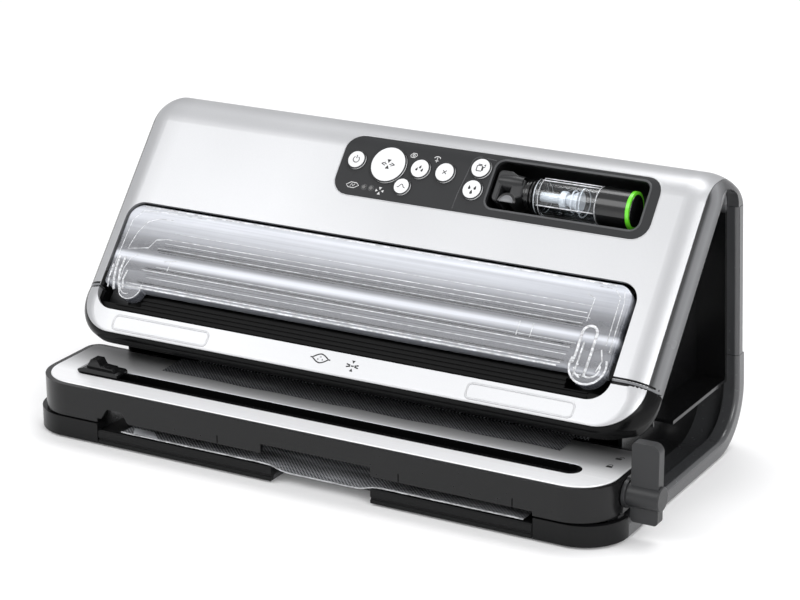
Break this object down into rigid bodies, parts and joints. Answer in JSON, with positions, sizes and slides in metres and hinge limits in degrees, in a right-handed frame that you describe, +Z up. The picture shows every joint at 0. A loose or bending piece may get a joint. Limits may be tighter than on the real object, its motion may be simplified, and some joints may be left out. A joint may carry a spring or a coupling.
{
  "type": "vacuum sealer",
  "caption": "Countertop vacuum sealer with a sloping silver housing, clear chamber lid, push-button panel, docked handheld sealer and a hinged cutter platform over a film shelf.",
  "frame": {"origin": "under the middle of the whole object, on the surface it stands on", "axes": "+X along the width towards the lock lever, +Y to the back, +Z up"},
  "size_m": [0.4254, 0.199, 0.1816],
  "materials": {
    "silver_shell": "satin",
    "silver_plate": "brushed",
    "dark_plastic": "semi-gloss",
    "black_plastic": "satin",
    "panel_plastic": "gloss",
    "button_white": "satin",
    "clear_plastic": "gloss",
    "light_lens": "gloss",
    "film": "embossed",
    "cardboard": "matte",
    "rubber": "matte",
    "steel": "satin",
    "bright_bar": "bright",
    "grey_plastic": "satin",
    "circuit_board": "matte",
    "handheld_black": "semi-gloss",
    "handheld_green": "semi-gloss"
  },
  "bodies": {
    "housing": {"base_corner_left": "dark_plastic", "base_corner_right": "dark_plastic", "base_tray": "dark_plastic", "chamber_gasket": "rubber", "chamber_tray": "black_plastic", "chassis_plate": "black_plastic", "chin_cover": "dark_plastic", "circuit_board": "circuit_board", "control_panel": "panel_plastic", "dock_tray": "black_plastic", "feet": "rubber", "film_guide": "black_plastic", "film_shelf_left": "dark_plastic", "film_shelf_right": "dark_plastic", "film_web": "film", "front_shell": "silver_shell", "housing_screws": "steel", "indicator_lights": "light_lens", "key_pads": "rubber", "nose_trim": "silver_shell", "platform_pins": "steel", "power_inlet": "black_plastic", "pump_motor": "steel", "rear_shell": "dark_plastic", "roll_cradle": "black_plastic", "sealing_strip": "rubber", "side_bezel_left": "dark_plastic", "side_bezel_right": "dark_plastic", "side_panel_left": "black_plastic", "side_panel_right": "black_plastic", "transformer": "steel", "vacuum_hose": "rubber", "vacuum_pump": "black_plastic"},
    "film_roll": {"roll_core": "cardboard", "film_roll": "film"},
    "platform": {"platform_body": "dark_plastic", "platform_plate": "silver_plate", "cutter_track": "black_plastic"},
    "slider": {"cutter_slider": "black_plastic", "cutter_blade": "steel"},
    "lever": {"lever": "dark_plastic", "lever_shaft": "steel"},
    "lid": {"window_lid": "clear_plastic", "lid_pins": "steel", "lid_gasket": "rubber", "pressure_bar": "bright_bar"},
    "drip_tray": {"drip_tray": "grey_plastic"},
    "handheld": {"handheld_head": "handheld_black", "handheld_neck": "handheld_black", "handheld_reservoir": "clear_plastic", "handheld_valve": "grey_plastic", "handheld_cap": "handheld_black", "handheld_ring": "handheld_green"},
    "button_power": {"button_power": "button_white"},
    "button_vacuum_seal": {"button_vacuum_seal": "button_white"},
    "button_seal": {"button_seal": "button_white"},
    "button_moist": {"button_moist": "button_white"},
    "button_cancel": {"button_cancel": "button_white"},
    "button_accessory": {"button_accessory": "button_white"},
    "button_marinate": {"button_marinate": "button_white"}
  },
  "joints": [
    {"name": "film_roll_spin", "type": "hinge", "parent": "housing", "child": "film_roll", "pos_m": [-0.00035, 0.04847, 0.04], "axis": [1, 0, 0], "continuous": true},
    {"name": "platform_lift", "type": "hinge", "parent": "housing", "child": "platform", "pos_m": [-0.00965, -0.03453, 0.022], "axis": [-1, 0, 0], "range_deg": [0, 20]},
    {"name": "cutter_slide", "type": "slide", "parent": "platform", "child": "slider", "axis": [1, 0, 0], "range_m": [0, 0.317]},
    {"name": "lever_turn", "type": "hinge", "parent": "platform", "child": "lever", "pos_m": [0.18985, -0.06753, 0.0273], "axis": [1, 0, 0], "range_deg": [0, 90]},
    {"name": "lid_open", "type": "hinge", "parent": "housing", "child": "lid", "pos_m": [-0.00965, -0.02896, 0.08219], "axis": [1, 0, 0], "range_deg": [0, 95]},
    {"name": "drip_tray_lift", "type": "slide", "parent": "housing", "child": "drip_tray", "axis": [0, -0.7638, 0.6455], "range_m": [0, 0.012]},
    {"name": "handheld_lift", "type": "slide", "parent": "housing", "child": "handheld", "axis": [0, -0.7638, 0.6455], "range_m": [0, 0.04]},
    {"name": "button_power_press", "type": "slide", "parent": "housing", "child": "button_power", "axis": [0, 0.7638, -0.6455], "range_m": [0, 0.001], "stiffness_N_per_m": 400},
    {"name": "button_vacuum_seal_press", "type": "slide", "parent": "housing", "child": "button_vacuum_seal", "axis": [0, 0.7638, -0.6455], "range_m": [0, 0.001], "stiffness_N_per_m": 400},
    {"name": "button_seal_press", "type": "slide", "parent": "housing", "child": "button_seal", "axis": [0, 0.7638, -0.6455], "range_m": [0, 0.001], "stiffness_N_per_m": 400},
    {"name": "button_moist_press", "type": "slide", "parent": "housing", "child": "button_moist", "axis": [0, 0.7638, -0.6455], "range_m": [0, 0.001], "stiffness_N_per_m": 400},
    {"name": "button_cancel_press", "type": "slide", "parent": "housing", "child": "button_cancel", "axis": [0, 0.7638, -0.6455], "range_m": [0, 0.001], "stiffness_N_per_m": 400},
    {"name": "button_accessory_press", "type": "slide", "parent": "housing", "child": "button_accessory", "axis": [0, 0.7638, -0.6455], "range_m": [0, 0.001], "stiffness_N_per_m": 400},
    {"name": "button_marinate_press", "type": "slide", "parent": "housing", "child": "button_marinate", "axis": [0, 0.7638, -0.6455], "range_m": [0, 0.001], "stiffness_N_per_m": 400}
  ]
}
